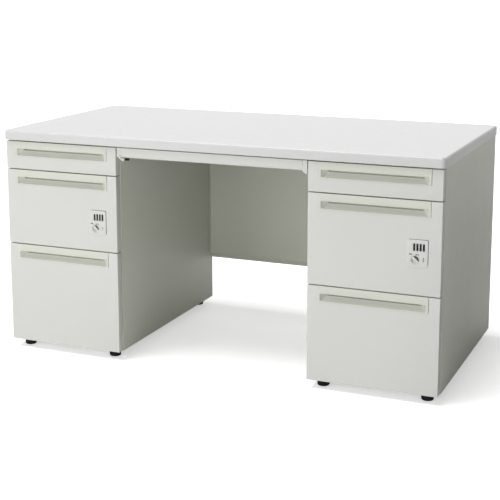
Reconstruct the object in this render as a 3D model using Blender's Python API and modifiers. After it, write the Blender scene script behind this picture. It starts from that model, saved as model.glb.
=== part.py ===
"""Double-pedestal steel teacher's desk, modelled as an assembly of separate pieces.

Frame: metres, +Z up, origin on the floor under the middle of the desktop, front of the desk towards -Y.
Every drawer stands in its own frame, an empty at the top middle of its front, and slides along -Y.
"""
import math

import bmesh
import bpy
from mathutils import Matrix

# Driving dimensions
DESK_WIDTH = 1.400
DESK_DEPTH = 0.700
DESK_HEIGHT = 0.700
DESKTOP_THICKNESS = 0.030
PEDESTAL_WIDTH = 0.390
PEDESTAL_X = 0.500              # middle of each pedestal, from the middle of the desk
FOOT_HEIGHT = 0.025
CLEARANCE = 0.0003              # gap between pieces that touch
PASS = 0.003                    # how far a cutter runs past what it cuts

# Desktop edge
PLAN_CORNER = 0.012
TOP_EDGE = 0.007
LOWER_EDGE = 0.003

# Pedestal case
FRONT_Y = -0.344                # face of the drawer fronts
FRONT_DEPTH = 0.022
FRONT_INSET = 0.0016            # from the side of the pedestal to the side of a drawer front
CASE_FRONT = -0.319
CASE_BACK = 0.348
CASE_TOP = DESK_HEIGHT - DESKTOP_THICKNESS - CLEARANCE
SHEET = 0.0012
HALF = PEDESTAL_WIDTH / 2
FRONT_RETURN = 0.004
REAR_RETURN = 0.016
BASE_SHEET = 0.0015
BASE_RIM = 0.020
TOP_FRAME_HEIGHT = 0.014
TOP_FRAME_BORDER = 0.035
FOOT_INSET_X = 0.040
FRONT_FOOT_Y = -0.301
REAR_FOOT_Y = 0.310
FOOT_RADIUS = 0.018
STEM_RADIUS = 0.004
STEM_TOP = 0.045
TURNED_STEPS = 20

# Drawer fronts, as heights above the floor
GAP = 0.003                     # between one front and the next
FIRST_TOP = 0.666
FIRST_SPLIT = 0.5784
SECOND_SPLIT = {"left": 0.3403, "right": 0.3100}
FRONT_SHEET = 0.001

# Drawer trays and their slides
TRAY_HALF = 0.178
TRAY_SHEET = 0.001
TRAY_DROP = 0.024               # tray rim below the top of the front
TRAY_LIFT = {"top": 0.012, "middle": 0.012, "bottom": 0.024}
TRAY_DEPTH = {"top": 0.560, "middle": 0.560, "bottom": 0.600}
RAIL_SHEET = 0.0015
RAIL_FRONT = -0.316
RAIL_BACK = 0.300
RAIL_MOUTH = 0.181              # open side of a cabinet rail, from the middle of the pedestal
RAIL_RISE = {"top": 0.020, "middle": 0.040, "bottom": 0.110}
RAIL_HEIGHT = {"top": 0.024, "middle": 0.024, "bottom": 0.040}
RUNNER_HEIGHT = {"top": 0.018, "middle": 0.018, "bottom": 0.027}
RUNNER_REACH = {"top": 0.1895, "middle": 0.1895, "bottom": 0.1875}
SLIDER_WEB = 0.1902
SLIDER_MOUTH = 0.182
SLIDER_HEIGHT = 0.034
UPRIGHT_WIDTH = 0.030
UPRIGHTS_Y = (-0.290, 0.260)
UPRIGHT_BOTTOM = 0.047
UPRIGHT_TOP = 0.650

# Moulded pull, let into the top edge of each front
PULL_HALF = 0.161
PULL_HEIGHT = 0.0455
PULL_PROUD = 0.0008
PULL_BACK = 0.021
RECESS_TOP = -0.022
RECESS_BOTTOM = -0.0435
RECESS_DEPTH = 0.015
RECESS_HALF_FRONT = 0.1545
RECESS_HALF_BACK = 0.141
HOOK_FRONT = 0.0045
HOOK_BACK = 0.0165
HOOK_TOP = -0.012

# Combination lock, on the middle drawers
LOCK_X = 0.126
LOCK_Z = -0.1464
PLATE_HALF_X = 0.030
PLATE_HALF_Z = 0.038
PLATE_FRONT = -0.0013
PLATE_THICKNESS = 0.001
HOUSING_HALF_X = 0.027
HOUSING_HALF_Z = 0.035
HOUSING_BACK = 0.020
HOUSING_WALL = 0.002
DIAL_RADIUS = 0.011
DIAL_WIDTH = 0.0044
DIAL_HUB_RADIUS = 0.004
DIAL_HUB_WIDTH = 0.0084
DIAL_PITCH = 0.009
DIAL_COUNT = 4
DIALS_X = 0.0047                # middle of the dials, from the middle of the plate
DIALS_Z = 0.0168
DIAL_AXIS_Y = 0.0085
AXLE_RADIUS = 0.0015
BORE_RADIUS = 0.00165
SLOT_WIDTH = 0.0050
SLOT_HEIGHT = 0.021
THUMB_X = -0.006
THUMB_Z = -0.019
THUMB_RADIUS = 0.013
THUMB_DISH_RADIUS = 0.011
THUMB_DISH_BACK = 0.0053
THUMB_BACK = 0.009
THUMB_FRONT = -0.0012
THUMB_TILT = math.radians(45)
THUMB_STEPS = 28
GRIP_WIDTH = 0.0065
SPINDLE_RADIUS = 0.004
SPINDLE_BACK = 0.018
CAM_HALF = 0.0035
CAM_REACH = 0.012
CAM_FRONT = 0.0145
CAM_BACK = 0.0165
KEY_X = 0.0176
KEY_Z = -0.0168
KEY_BARREL_RADIUS = 0.0065
KEYWAY_HALF_WIDTH = 0.001
KEYWAY_HALF_HEIGHT = 0.006
KEYWAY_DEPTH = 0.012

# Middle drawer and its hangers
CENTRE_HALF = 0.2892
CENTRE_TOP = 0.667
CENTRE_HEIGHT = 0.030
CENTRE_TRAY_HALF = 0.272
CENTRE_TRAY_BACK = 0.420
CENTRE_TRAY_WALL = 0.0015
CENTRE_RUNNER_HALF = 0.2865
CENTRE_RUNNER_HEIGHT = 0.010
LIP_RADIUS = 0.006              # curl along the lower edge of its front
LIP_CORNER = 0.0018             # how far the curl's middle point stands in from the square corner
LIP_DEPTH = 0.010
HANGER_OUTER = 0.3044
HANGER_INNER = 0.2745
HANGER_WEB = 0.2885
HANGER_FLANGE_Z = 0.643
HANGER_BOTTOM = 0.630
HANGER_BACK = 0.100
END_PLATE_SETBACK = 0.0005
END_PLATE_SHEET = 0.0015
END_PLATE_DROP = 0.0025         # top of the end plate below the top of the hanger
END_PLATE_LOW = 0.627           # both end plates slope down to the right, to this height
END_PLATE_HIGH = 0.641          # left end of the slope on the left plate
END_PLATE_SHOULDER = 0.6352     # left end of the slope on the right plate, and top of the left one's toe
END_PLATE_TOE = 0.278           # where the left plate ends under the drawer's lip

# Modesty panel
PANEL_HALF = 0.3044
PANEL_Y = 0.336
PANEL_BOTTOM = 0.172
PANEL_CREASE = 0.190
PANEL_KICK = 0.010

COLOURS = {
    "shell_paint": ((0.62, 0.62, 0.58), 0.45, 0.0),
    "front_paint": ((0.66, 0.66, 0.62), 0.45, 0.0),
    "white_laminate": ((0.80, 0.80, 0.80), 0.35, 0.0),
    "pull_plastic": ((0.63, 0.63, 0.57), 0.50, 0.0),
    "lock_plastic": ((0.62, 0.62, 0.59), 0.40, 0.0),
    "black_plastic": ((0.02, 0.02, 0.02), 0.50, 0.0),
    "slide_steel": ((0.55, 0.56, 0.57), 0.35, 0.9),
    "tray_paint": ((0.50, 0.50, 0.48), 0.50, 0.0),
}


def clear_scene():
    for obj in list(bpy.data.objects):
        bpy.data.objects.remove(obj, do_unlink=True)


def make_collection(name):
    collection = bpy.data.collections.new(name)
    bpy.context.scene.collection.children.link(collection)
    return collection


def make_material(name):
    colour, roughness, metallic = COLOURS[name]
    material = bpy.data.materials.new(name)
    material.use_nodes = True
    shader = material.node_tree.nodes["Principled BSDF"]
    shader.inputs["Base Color"].default_value = (*colour, 1.0)
    shader.inputs["Roughness"].default_value = roughness
    shader.inputs["Metallic"].default_value = metallic
    return material


clear_scene()
PARTS = make_collection("teacher_desk")
CUTTERS = make_collection("cutters")


def finish(bm, name, kind, parent=None, location=(0, 0, 0), hand=1):
    """Turn a bmesh into an object. kind is a colour's name, or None for a cutter; hand -1 mirrors it in X."""
    if hand < 0:
        bmesh.ops.scale(bm, vec=(-1, 1, 1), verts=bm.verts)
        bmesh.ops.reverse_faces(bm, faces=bm.faces)
    mesh = bpy.data.meshes.new(name)
    bm.to_mesh(mesh)
    bm.free()
    obj = bpy.data.objects.new(name, mesh)
    obj.location = location
    obj.parent = parent
    if kind is None:
        CUTTERS.objects.link(obj)
        obj.hide_render = True
        obj.display_type = "WIRE"
    else:
        PARTS.objects.link(obj)
        mesh.materials.append(make_material(kind))
    return obj


def make_empty(name, location):
    obj = bpy.data.objects.new(name, None)
    obj.location = location
    obj.empty_display_size = 0.05
    PARTS.objects.link(obj)
    return obj


def cube(low, high):
    """A bmesh cube from its lowest to its highest corner."""
    bm = bmesh.new()
    bmesh.ops.create_cube(bm, size=1.0)
    bmesh.ops.scale(bm, vec=[b - a for a, b in zip(low, high)], verts=bm.verts)
    bmesh.ops.translate(bm, vec=[(a + b) / 2 for a, b in zip(low, high)], verts=bm.verts)
    return bm


def block(name, low, high, kind, **place):
    return finish(cube(low, high), name, kind, **place)


def rod(name, radius, low, high, axis, centre, kind, steps=TURNED_STEPS, **place):
    """A cylinder along axis, from low to high on it; centre gives its other two coordinates."""
    bm = bmesh.new()
    bmesh.ops.create_cone(bm, cap_ends=True, segments=steps, radius1=radius, radius2=radius, depth=high - low)
    turn = {"X": Matrix.Rotation(math.pi / 2, 3, "Y"), "Y": Matrix.Rotation(math.pi / 2, 3, "X"),
            "Z": Matrix.Identity(3)}[axis]
    bmesh.ops.rotate(bm, cent=(0, 0, 0), matrix=turn, verts=bm.verts)
    at = list(centre)
    at.insert("XYZ".index(axis), (low + high) / 2)
    bmesh.ops.translate(bm, vec=at, verts=bm.verts)
    return finish(bm, name, kind, **place)


def thicken(obj, thickness, inwards=True):
    solidify = obj.modifiers.new("sheet thickness", "SOLIDIFY")
    solidify.thickness = thickness
    solidify.offset = -1 if inwards else 1
    solidify.use_even_offset = True
    return obj


def pan(name, low, high, thickness, open_side, kind, **place):
    """A folded sheet box with one side open, such as (0, 0, 1) for the top."""
    bm = cube(low, high)
    bm.normal_update()
    lids = [face for face in bm.faces if all(abs(n - o) < 0.01 for n, o in zip(face.normal, open_side))]
    bmesh.ops.delete(bm, geom=lids, context="FACES_ONLY")
    return thicken(finish(bm, name, kind, **place), thickness)


def bent_sheet(name, profile, axis, low, high, thickness, kind, inwards=True, **place):
    """A sheet folded along the corner points of profile, which lie across axis, in X, Y, Z order."""
    index = "XYZ".index(axis)
    bm = bmesh.new()
    corners = []
    for point in profile:
        at = list(point)
        at.insert(index, low)
        corners.append(bm.verts.new(at))
    edges = [bm.edges.new(pair) for pair in zip(corners, corners[1:])]
    swept = bmesh.ops.extrude_edge_only(bm, edges=edges)["geom"]
    step = [0, 0, 0]
    step[index] = high - low
    bmesh.ops.translate(bm, vec=step, verts=[g for g in swept if isinstance(g, bmesh.types.BMVert)])
    bmesh.ops.recalc_face_normals(bm, faces=bm.faces)
    return thicken(finish(bm, name, kind, **place), thickness, inwards)


def turned(name, profile, kind, **place):
    """A piece turned about Z from its profile of (radius, height) points, run down the outside."""
    bm = bmesh.new()
    corners = [bm.verts.new((radius, 0, height)) for radius, height in profile]
    for pair in zip(corners, corners[1:]):
        bm.edges.new(pair)
    obj = finish(bm, name, kind, **place)
    screw = obj.modifiers.new("turning", "SCREW")
    screw.steps = screw.render_steps = TURNED_STEPS
    screw.use_merge_vertices = True
    screw.merge_threshold = 0.00001
    screw.use_smooth_shade = True
    return obj


def boolean(obj, other, operation):
    modifier = obj.modifiers.new(other.name, "BOOLEAN")
    modifier.operation = operation
    modifier.solver = "EXACT"
    modifier.object = other
    return obj


def cut(obj, cutter):
    return boolean(obj, cutter, "DIFFERENCE")


def join(obj, other):
    return boolean(obj, other, "UNION")


def make_desktop():
    """Laminated board with rounded plan corners, a soft upper edge and a smaller lower one."""
    low = (-DESK_WIDTH / 2, -DESK_DEPTH / 2, DESK_HEIGHT - DESKTOP_THICKNESS)
    high = (DESK_WIDTH / 2, DESK_DEPTH / 2, DESK_HEIGHT)
    bm = cube(low, high)
    uprights = [edge for edge in bm.edges if abs(edge.verts[0].co.z - edge.verts[1].co.z) > 0.001]
    bmesh.ops.bevel(bm, geom=uprights, offset=PLAN_CORNER, segments=4, profile=0.5, affect="EDGES")
    for height, radius, segments in ((high[2], TOP_EDGE, 3), (low[2], LOWER_EDGE, 1)):
        rim = [edge for edge in bm.edges if all(abs(v.co.z - height) < 0.0001 for v in edge.verts)]
        bmesh.ops.bevel(bm, geom=rim, offset=radius, segments=segments, profile=0.5, affect="EDGES")
    finish(bm, "desktop", "white_laminate")


def make_modesty_panel():
    """Sheet across the back of the knee space, with a top flange and a kicked-back lower edge."""
    top = DESK_HEIGHT - DESKTOP_THICKNESS - 2 * CLEARANCE
    profile = [(PANEL_Y - REAR_RETURN, top), (PANEL_Y, top), (PANEL_Y, PANEL_CREASE),
               (PANEL_Y + PANEL_KICK, PANEL_BOTTOM)]
    bent_sheet("modesty_panel", profile, "X", -PANEL_HALF, PANEL_HALF, SHEET, "shell_paint")


def make_case(side, hand, pedestal):
    """The fixed sheet-metal pieces of one pedestal; hand is +1 where the outer side faces +X."""
    place = {"parent": pedestal, "hand": hand}
    inner_back = CASE_BACK - SHEET - CLEARANCE
    wall = HALF - SHEET - CLEARANCE
    front = CASE_FRONT + SHEET + CLEARANCE
    back = inner_back - SHEET - CLEARANCE
    outer = [(HALF - FRONT_RETURN, CASE_FRONT), (HALF, CASE_FRONT), (HALF, CASE_BACK), (-HALF, CASE_BACK)]
    inner = [(REAR_RETURN - HALF, inner_back), (-HALF, inner_back), (-HALF, CASE_FRONT),
             (FRONT_RETURN - HALF, CASE_FRONT)]
    bent_sheet(side + "_outer_shell", outer, "Z", FOOT_HEIGHT, CASE_TOP, SHEET, "shell_paint", **place)
    bent_sheet(side + "_inner_side", inner, "Z", FOOT_HEIGHT, CASE_TOP, SHEET, "shell_paint", **place)

    base = pan(side + "_base_pan", (-wall, front, FOOT_HEIGHT), (wall, back, FOOT_HEIGHT + BASE_RIM),
               BASE_SHEET, (0, 0, 1), "shell_paint", **place)
    foot_x = HALF - FOOT_INSET_X
    for x, x_name in ((foot_x, "outer"), (-foot_x, "inner")):
        for y, y_name in ((FRONT_FOOT_Y, "front"), (REAR_FOOT_Y, "rear")):
            hole = rod(f"{side}_{y_name}_{x_name}_foot_hole", STEM_RADIUS + CLEARANCE, FOOT_HEIGHT - 0.002,
                       FOOT_HEIGHT + 0.004, "Z", (x, y), None, **place)
            cut(base, hole)
            make_foot(f"{side}_{y_name}_{x_name}_foot", (hand * x, y, 0), pedestal)

    top = pan(side + "_top_frame", (-wall, front, CASE_TOP - TOP_FRAME_HEIGHT), (wall, back, CASE_TOP),
              BASE_SHEET, (0, 0, -1), "shell_paint", **place)
    half, ahead, behind = wall - TOP_FRAME_BORDER, front + TOP_FRAME_BORDER, back - TOP_FRAME_BORDER
    window = block(side + "_top_window", (-half, ahead, CASE_TOP - 0.005), (half, behind, CASE_TOP + 0.005),
                   None, **place)
    cut(top, window)


def make_foot(name, location, pedestal):
    """Levelling foot: a plastic pad on a steel stem that screws into the base."""
    pad_top = FOOT_HEIGHT - CLEARANCE
    profile = [(0, STEM_TOP), (STEM_RADIUS, STEM_TOP), (STEM_RADIUS, pad_top), (FOOT_RADIUS, pad_top),
               (FOOT_RADIUS, 0.008), (FOOT_RADIUS - 0.001, 0.003), (FOOT_RADIUS - 0.004, 0), (0, 0)]
    turned(name, profile, "black_plastic", parent=pedestal, location=location)


def rail_z(level, front_bottom):
    """Middle height of a drawer's slides."""
    return front_bottom + TRAY_LIFT[level] + RAIL_RISE[level]


def make_rails(side, where, hand, pedestal, levels):
    """Two uprights with the three cabinet rails welded across them."""
    place = {"parent": pedestal, "hand": hand}
    wall = HALF - SHEET - CLEARANCE
    name = f"{side}_{where}_rails"
    frame = None
    for number, y in enumerate(UPRIGHTS_Y):
        low = (wall - RAIL_SHEET, y - UPRIGHT_WIDTH / 2, UPRIGHT_BOTTOM)
        high = (wall, y + UPRIGHT_WIDTH / 2, UPRIGHT_TOP)
        if frame is None:
            frame = block(name, low, high, "slide_steel", **place)
        else:
            join(frame, block(f"{name}_upright_{number}", low, high, None, **place))
    web = wall - RAIL_SHEET / 2
    for level, (bottom, _top) in levels.items():
        middle = rail_z(level, bottom)
        half = RAIL_HEIGHT[level] / 2
        profile = [(RAIL_MOUTH, middle + half), (web, middle + half), (web, middle - half),
                   (RAIL_MOUTH, middle - half)]
        rail = bent_sheet(f"{name}_{level}", profile, "Y", RAIL_FRONT, RAIL_BACK, RAIL_SHEET, None, **place)
        join(frame, rail)


def make_slider(side, where, hand, pedestal, bottom):
    """Middle member of a full-extension slide, between the cabinet rail and the drawer's runner."""
    middle = rail_z("bottom", bottom)
    half = SLIDER_HEIGHT / 2
    profile = [(SLIDER_MOUTH, middle + half), (SLIDER_WEB, middle + half), (SLIDER_WEB, middle - half),
               (SLIDER_MOUTH, middle - half)]
    bent_sheet(f"{side}_{where}_slider", profile, "Y", RAIL_FRONT + 0.002, RAIL_BACK - 0.010, RAIL_SHEET,
               "slide_steel", parent=pedestal, hand=hand)


def make_pull(name, drawer):
    """Moulded pull: a sloping recess with tapered ends, and a finger hook behind its lip."""
    bm = cube((-PULL_HALF, -PULL_PROUD, -PULL_HEIGHT), (PULL_HALF, PULL_BACK, 0))
    front_rim = [edge for edge in bm.edges if all(v.co.y < 0 for v in edge.verts)]
    bmesh.ops.bevel(bm, geom=front_rim, offset=PULL_PROUD / 2, segments=1, profile=0.5, affect="EDGES")
    pull = finish(bm, name, "pull_plastic", parent=drawer)

    # The recess starts ahead of the face, so its slope and ends are carried on to there.
    run = RECESS_DEPTH + PULL_PROUD
    drop = (RECESS_TOP - RECESS_BOTTOM) / run * PASS
    spread = (RECESS_HALF_FRONT - RECESS_HALF_BACK) / run * PASS
    wedge = bmesh.new()
    for sign in (-1, 1):
        half = sign * (RECESS_HALF_FRONT + spread)
        wedge.verts.new((half, -PULL_PROUD - PASS, RECESS_BOTTOM - drop))
        wedge.verts.new((half, -PULL_PROUD - PASS, RECESS_TOP))
        wedge.verts.new((sign * RECESS_HALF_BACK, RECESS_DEPTH, RECESS_TOP))
    bmesh.ops.convex_hull(wedge, input=wedge.verts)
    cut(pull, finish(wedge, name + "_recess", None, parent=drawer))
    hook_half = RECESS_HALF_BACK - 0.001
    cut(pull, block(name + "_hook", (-hook_half, HOOK_FRONT, RECESS_TOP - PASS / 2),
                    (hook_half, HOOK_BACK, HOOK_TOP), None, parent=drawer))


def make_drawer(side, level, bottom, top):
    """One pedestal drawer: front pan, moulded pull and tray with its two runners."""
    name = f"{side}_{level}_drawer"
    x = -PEDESTAL_X if side == "left" else PEDESTAL_X
    drawer = make_empty(name, (x, FRONT_Y, top))
    height = top - bottom

    half = HALF - FRONT_INSET
    front = pan(name + "_front", (-half, 0, -height), (half, FRONT_DEPTH, 0), FRONT_SHEET, (0, 1, 0),
                "front_paint", parent=drawer)
    notch_half = PULL_HALF + CLEARANCE
    cut(front, block(name + "_notch", (-notch_half, -PASS, -PULL_HEIGHT - CLEARANCE),
                     (notch_half, FRONT_DEPTH + PASS, PASS), None, parent=drawer))
    make_pull(name + "_pull", drawer)

    tray_front = FRONT_DEPTH + CLEARANCE
    tray_bottom = TRAY_LIFT[level] - height
    tray = pan(name + "_tray", (-TRAY_HALF, tray_front, tray_bottom),
               (TRAY_HALF, tray_front + TRAY_DEPTH[level], -TRAY_DROP), TRAY_SHEET, (0, 0, 1), "tray_paint",
               parent=drawer)
    middle = tray_bottom + RAIL_RISE[level]
    half = RUNNER_HEIGHT[level] / 2
    for hand, where in ((-1, "left"), (1, "right")):
        runner = block(f"{name}_{where}_runner", (TRAY_HALF - TRAY_SHEET / 2, tray_front, middle - half),
                       (RUNNER_REACH[level], tray_front + TRAY_DEPTH[level], middle + half), None,
                       parent=drawer, hand=hand)
        join(tray, runner)
    if level == "middle":
        opening_x, opening_z = HOUSING_HALF_X + CLEARANCE, HOUSING_HALF_Z + CLEARANCE
        cut(front, block(name + "_lock_opening", (LOCK_X - opening_x, -PASS, LOCK_Z - opening_z),
                         (LOCK_X + opening_x, PASS, LOCK_Z + opening_z), None, parent=drawer))
        make_lock(side + "_lock", drawer)


def make_lock(name, drawer):
    """Combination lock: face plate and housing, four dials on one axle, and a dished thumb-turn."""
    middle = make_empty(name, (LOCK_X, 0, LOCK_Z))
    middle.parent = drawer
    plate_back = PLATE_FRONT + PLATE_THICKNESS
    housing = block(name + "_housing", (-PLATE_HALF_X, PLATE_FRONT, -PLATE_HALF_Z),
                    (PLATE_HALF_X, plate_back, PLATE_HALF_Z), "lock_plastic", parent=middle)
    body = pan(name + "_body", (-HOUSING_HALF_X, plate_back - 0.0005, -HOUSING_HALF_Z),
               (HOUSING_HALF_X, HOUSING_BACK, HOUSING_HALF_Z), HOUSING_WALL, (0, 1, 0), None, parent=middle)
    axle_reach = HOUSING_HALF_X - HOUSING_WALL / 2
    axle = rod(name + "_axle", AXLE_RADIUS, -axle_reach, axle_reach, "X", (DIAL_AXIS_Y, DIALS_Z), None,
               parent=middle)
    barrel = rod(name + "_barrel", KEY_BARREL_RADIUS, 0.0, HOUSING_BACK - 0.002, "Y", (KEY_X, KEY_Z), None,
                 parent=middle)
    for piece in (body, axle, barrel):
        join(housing, piece)

    keyway = block(name + "_keyway", (KEY_X - KEYWAY_HALF_WIDTH, -PASS, KEY_Z - KEYWAY_HALF_HEIGHT),
                   (KEY_X + KEYWAY_HALF_WIDTH, KEYWAY_DEPTH, KEY_Z + KEYWAY_HALF_HEIGHT), None, parent=middle)
    cut(housing, keyway)
    cut(housing, rod(name + "_thumb_hole", THUMB_RADIUS + CLEARANCE, -PASS, PASS, "Y", (THUMB_X, THUMB_Z),
                     None, parent=middle))
    for number in range(DIAL_COUNT):
        x = DIALS_X + (number - (DIAL_COUNT - 1) / 2) * DIAL_PITCH
        slot = block(f"{name}_slot_{number + 1}", (x - SLOT_WIDTH / 2, -PASS, DIALS_Z - SLOT_HEIGHT / 2),
                     (x + SLOT_WIDTH / 2, PASS, DIALS_Z + SLOT_HEIGHT / 2), None, parent=middle)
        cut(housing, slot)
        make_dial(f"{name}_dial_{number + 1}", (x, DIAL_AXIS_Y, DIALS_Z), middle)
    make_thumb_turn(name, middle)


def make_dial(name, location, parent):
    """Number wheel with a hub, bored for the axle and turned so that its axis lies along X."""
    rim, hub = DIAL_WIDTH / 2, DIAL_HUB_WIDTH / 2
    profile = [(BORE_RADIUS, hub), (DIAL_HUB_RADIUS, hub), (DIAL_HUB_RADIUS, rim), (DIAL_RADIUS, rim),
               (DIAL_RADIUS, -rim), (DIAL_HUB_RADIUS, -rim), (DIAL_HUB_RADIUS, -hub), (BORE_RADIUS, -hub),
               (BORE_RADIUS, hub)]
    dial = turned(name, profile, "black_plastic", parent=parent, location=location)
    dial.rotation_euler = (0, math.pi / 2, 0)


def make_thumb_turn(name, parent):
    """Round dish with a grip bar across it, a spindle and the cam that it throws."""
    turn = rod(name + "_thumb_turn", THUMB_RADIUS, THUMB_FRONT, THUMB_BACK, "Y", (0, 0), "lock_plastic",
               parent=parent, location=(THUMB_X, 0, THUMB_Z), steps=THUMB_STEPS)
    dish = rod(name + "_dish", THUMB_DISH_RADIUS, -PASS, THUMB_DISH_BACK, "Y", (0, 0), None, parent=turn,
               steps=THUMB_STEPS)
    grip_half = (THUMB_RADIUS + THUMB_DISH_RADIUS) / 2
    grip = block(name + "_grip", (-grip_half, THUMB_FRONT + CLEARANCE, -GRIP_WIDTH / 2),
                 (grip_half, THUMB_DISH_BACK + 0.001, GRIP_WIDTH / 2), None, parent=turn)
    grip.rotation_euler = (0, THUMB_TILT, 0)
    spindle = rod(name + "_spindle", SPINDLE_RADIUS, THUMB_BACK - 0.001, SPINDLE_BACK, "Y", (0, 0), None,
                  parent=turn)
    cam = block(name + "_cam", (-CAM_HALF, CAM_FRONT, -CAM_REACH), (CAM_HALF, CAM_BACK, CAM_HALF), None,
                parent=turn)
    cut(turn, dish)
    for piece in (grip, spindle, cam):
        join(turn, piece)


def make_centre_drawer():
    """Shallow drawer under the desktop: a folded front with a curled finger lip, and a moulded tray."""
    drawer = make_empty("centre_drawer", (0, FRONT_Y, CENTRE_TOP))
    profile = [(FRONT_DEPTH, 0), (0, 0), (0, LIP_RADIUS - CENTRE_HEIGHT),
               (LIP_CORNER, LIP_CORNER - CENTRE_HEIGHT), (LIP_RADIUS, -CENTRE_HEIGHT),
               (LIP_DEPTH, -CENTRE_HEIGHT)]
    bent_sheet("centre_drawer_front", profile, "X", -CENTRE_HALF, CENTRE_HALF, SHEET, "front_paint",
               parent=drawer)
    tray_front = FRONT_DEPTH + CLEARANCE
    runner_low = HANGER_FLANGE_Z + SHEET + CLEARANCE - CENTRE_TOP
    tray = pan("centre_drawer_tray", (-CENTRE_TRAY_HALF, tray_front, runner_low - 0.001),
               (CENTRE_TRAY_HALF, CENTRE_TRAY_BACK, -CENTRE_TRAY_WALL), CENTRE_TRAY_WALL, (0, 0, 1),
               "black_plastic", parent=drawer)
    for hand, where in ((-1, "left"), (1, "right")):
        runner = block(f"centre_drawer_{where}_runner", (CENTRE_TRAY_HALF - 0.001, tray_front, runner_low),
                       (CENTRE_RUNNER_HALF, CENTRE_TRAY_BACK, runner_low + CENTRE_RUNNER_HEIGHT), None,
                       parent=drawer, hand=hand)
        join(tray, runner)


def make_hanger(side, hand):
    """Folded rail that carries one edge of the middle drawer, with its visible end plate."""
    name = side + "_hanger"
    top = DESK_HEIGHT - DESKTOP_THICKNESS - 2 * CLEARANCE
    behind_front = FRONT_Y + FRONT_DEPTH + 0.003
    profile = [(HANGER_OUTER, HANGER_BOTTOM), (HANGER_OUTER, top), (HANGER_WEB, top),
               (HANGER_WEB, HANGER_FLANGE_Z), (HANGER_INNER, HANGER_FLANGE_Z)]
    hanger = bent_sheet(name, profile, "Y", behind_front, HANGER_BACK, SHEET, "front_paint", hand=hand)
    plate_front, plate_top = FRONT_Y + END_PLATE_SETBACK, top - END_PLATE_DROP
    edge = HANGER_WEB + SHEET
    if side == "left":
        outline = [(edge, plate_top), (edge, END_PLATE_SHOULDER), (END_PLATE_TOE, END_PLATE_SHOULDER),
                   (END_PLATE_TOE, END_PLATE_LOW + 0.002), (END_PLATE_TOE + 0.003, END_PLATE_LOW),
                   (HANGER_OUTER, END_PLATE_HIGH), (HANGER_OUTER, plate_top)]
    else:
        outline = [(edge, plate_top), (edge, END_PLATE_SHOULDER), (HANGER_OUTER - 0.001, END_PLATE_LOW),
                   (HANGER_OUTER, END_PLATE_LOW), (HANGER_OUTER, plate_top)]
    bm = bmesh.new()
    plate_back = plate_front + END_PLATE_SHEET
    rows = [[bm.verts.new((x, y, z)) for x, z in outline] for y in (plate_front, plate_back)]
    for row in rows:
        bm.faces.new(row)
    for i in range(len(outline)):
        bm.faces.new((rows[0][i - 1], rows[0][i], rows[1][i], rows[1][i - 1]))
    bmesh.ops.recalc_face_normals(bm, faces=bm.faces)
    join(hanger, finish(bm, name + "_end_plate", None, hand=hand))
    join(hanger, block(name + "_cheek", (HANGER_OUTER - SHEET, plate_front, END_PLATE_HIGH),
                       (HANGER_OUTER - 0.0002, behind_front + 0.004, plate_top), None, hand=hand))


def main():
    make_desktop()
    make_modesty_panel()
    for side, hand in (("left", -1), ("right", 1)):
        pedestal = make_empty(side + "_pedestal", (hand * PEDESTAL_X, 0, 0))
        split = SECOND_SPLIT[side]
        levels = {"top": (FIRST_SPLIT + GAP / 2, FIRST_TOP),
                  "middle": (split + GAP / 2, FIRST_SPLIT - GAP / 2),
                  "bottom": (FOOT_HEIGHT, split - GAP / 2)}
        make_case(side, hand, pedestal)
        for where, facing in (("outer", hand), ("inner", -hand)):
            make_rails(side, where, facing, pedestal, levels)
            make_slider(side, where, facing, pedestal, FOOT_HEIGHT)
        for level, (bottom, top) in levels.items():
            make_drawer(side, level, bottom, top)
        make_hanger(side, hand)
    make_centre_drawer()


main()
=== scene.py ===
"""Looks of the double-pedestal teacher's desk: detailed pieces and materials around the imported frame,
with a pale floor, soft studio light and a camera. Metres, +Z up, front of the desk towards -Y."""
import math

import bmesh
import bpy
from mathutils import Matrix, Vector


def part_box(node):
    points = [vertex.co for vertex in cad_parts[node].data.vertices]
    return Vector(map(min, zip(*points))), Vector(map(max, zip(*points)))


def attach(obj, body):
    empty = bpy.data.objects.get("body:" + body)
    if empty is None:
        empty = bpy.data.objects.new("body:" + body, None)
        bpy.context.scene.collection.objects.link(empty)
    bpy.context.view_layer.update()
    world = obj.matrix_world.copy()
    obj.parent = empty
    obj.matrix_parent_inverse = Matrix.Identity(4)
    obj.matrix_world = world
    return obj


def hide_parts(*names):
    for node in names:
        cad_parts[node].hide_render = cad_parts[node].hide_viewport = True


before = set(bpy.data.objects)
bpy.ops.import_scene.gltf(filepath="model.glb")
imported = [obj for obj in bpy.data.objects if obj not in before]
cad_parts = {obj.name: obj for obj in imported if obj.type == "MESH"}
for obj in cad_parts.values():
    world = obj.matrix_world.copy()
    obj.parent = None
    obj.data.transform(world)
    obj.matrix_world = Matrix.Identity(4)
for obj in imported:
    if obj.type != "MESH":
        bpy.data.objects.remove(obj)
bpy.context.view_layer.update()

SIDES = ("left", "right")
LEVELS = ("top", "middle", "bottom")
HAND = {"left": -1, "right": 1}
SHEET = 0.0012                  # thickness of the cases' steel
FRONT_SHEET = 0.001
TRAY_SHEET = 0.001
BEND = 0.0015                   # outer radius of an ordinary fold
FRONT_BEND = 0.0013             # tighter fold along the cases' front edges
GAP = 0.0003
END_GAP = {"left": 0.0022, "right": 0.0006}     # from a hanger's end plate to its outer face
PULL_SEAM = 0.0009              # open seam at the right end of each pull
TRAY_HALF = 0.178               # from a tray's middle to the outside of its wall
RUNNER_RISE = {"top": 0.020, "middle": 0.040, "bottom": 0.110}      # from a tray's bottom to its channels
RUNNER_HEIGHT = {"top": 0.018, "middle": 0.018, "bottom": 0.027}
DIGITS = 10
LOCK_CORNER = 0.0030
THUMB_SLOPE = math.radians(-45)
CORE = 0.0002                   # radius at which a turned piece closes on its axis
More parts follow.
